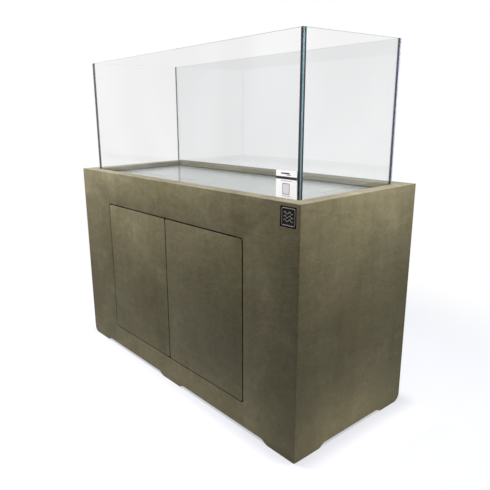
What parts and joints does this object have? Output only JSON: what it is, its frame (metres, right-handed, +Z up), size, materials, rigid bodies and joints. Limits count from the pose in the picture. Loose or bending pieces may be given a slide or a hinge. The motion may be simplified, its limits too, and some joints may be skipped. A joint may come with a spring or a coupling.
{
  "type": "aquarium on cabinet stand",
  "caption": "Rimless rectangular glass aquarium sunk into the top of a cement-finished cabinet stand with flush pivot doors and low shaped feet.",
  "frame": {"origin": "on the floor, under the centre of the stand", "axes": "+X to the right along the front, +Y to the back, +Z up; the doors face -Y"},
  "size_m": [1.31, 0.56, 1.245],
  "materials": {
    "cement_finish": "matte trowelled cement coat on board, mottled olive grey",
    "birch_ply": "plain birch plywood",
    "clear_glass": "clear float glass with ground edges",
    "black_silicone": "black silicone",
    "white_foam": "pale closed-cell foam",
    "satin_steel": "satin",
    "brass_bush": "plain",
    "grey_plastic": "matte",
    "dark_bronze": "dark patina with lighter raised figure",
    "white_paper": "matte printed paper"
  },
  "bodies": {
    "cabinet": {"front_panel": "cement_finish", "back_panel": "cement_finish", "side_panel_left": "cement_finish", "side_panel_right": "cement_finish", "rim_strip_front": "cement_finish", "rim_strip_back": "cement_finish", "rim_strip_left": "cement_finish", "rim_strip_right": "cement_finish", "top_deck": "birch_ply", "base_panel": "birch_ply", "deck_batten_front": "birch_ply", "deck_batten_back": "birch_ply", "deck_batten_left": "birch_ply", "deck_batten_right": "birch_ply", "base_joist_centre": "birch_ply", "base_batten_left_front": "birch_ply", "base_batten_left_back": "birch_ply", "base_batten_right_front": "birch_ply", "base_batten_right_back": "birch_ply", "centre_partition": "birch_ply", "pivot_pin_left_lower": "satin_steel", "pivot_pin_left_upper": "satin_steel", "pivot_pin_right_lower": "satin_steel", "pivot_pin_right_upper": "satin_steel", "latch_body_left": "grey_plastic", "latch_body_right": "grey_plastic", "glass_floor": "clear_glass", "glass_front": "clear_glass", "glass_back": "clear_glass", "glass_left": "clear_glass", "glass_right": "clear_glass", "silicone_front_left": "black_silicone", "silicone_front_right": "black_silicone", "silicone_back_left": "black_silicone", "silicone_back_right": "black_silicone", "silicone_base": "black_silicone", "levelling_mat": "white_foam", "badge_plate": "dark_bronze", "info_label": "white_paper"},
    "left_door": {"door_left": "cement_finish", "pivot_bush_left_lower": "brass_bush", "pivot_bush_left_upper": "brass_bush", "strike_disc_left": "satin_steel"},
    "right_door": {"door_right": "cement_finish", "pivot_bush_right_lower": "brass_bush", "pivot_bush_right_upper": "brass_bush", "strike_disc_right": "satin_steel"},
    "left_plunger": {"latch_plunger_left": "satin_steel"},
    "right_plunger": {"latch_plunger_right": "satin_steel"}
  },
  "joints": [
    {"name": "left_door_hinge", "type": "hinge", "parent": "cabinet", "child": "left_door", "pos_m": [-0.4, -0.269, 0.3805], "axis": [0, 0, -1], "range_deg": [0, 110]},
    {"name": "right_door_hinge", "type": "hinge", "parent": "cabinet", "child": "right_door", "pos_m": [0.4, -0.269, 0.3805], "axis": [0, 0, 1], "range_deg": [0, 110]},
    {"name": "left_latch_press", "type": "slide", "parent": "cabinet", "child": "left_plunger", "axis": [0, 1, 0], "range_m": [0, 0.003], "stiffness_N_per_m": 400},
    {"name": "right_latch_press", "type": "slide", "parent": "cabinet", "child": "right_plunger", "axis": [0, 1, 0], "range_m": [0, 0.003], "stiffness_N_per_m": 400}
  ]
}
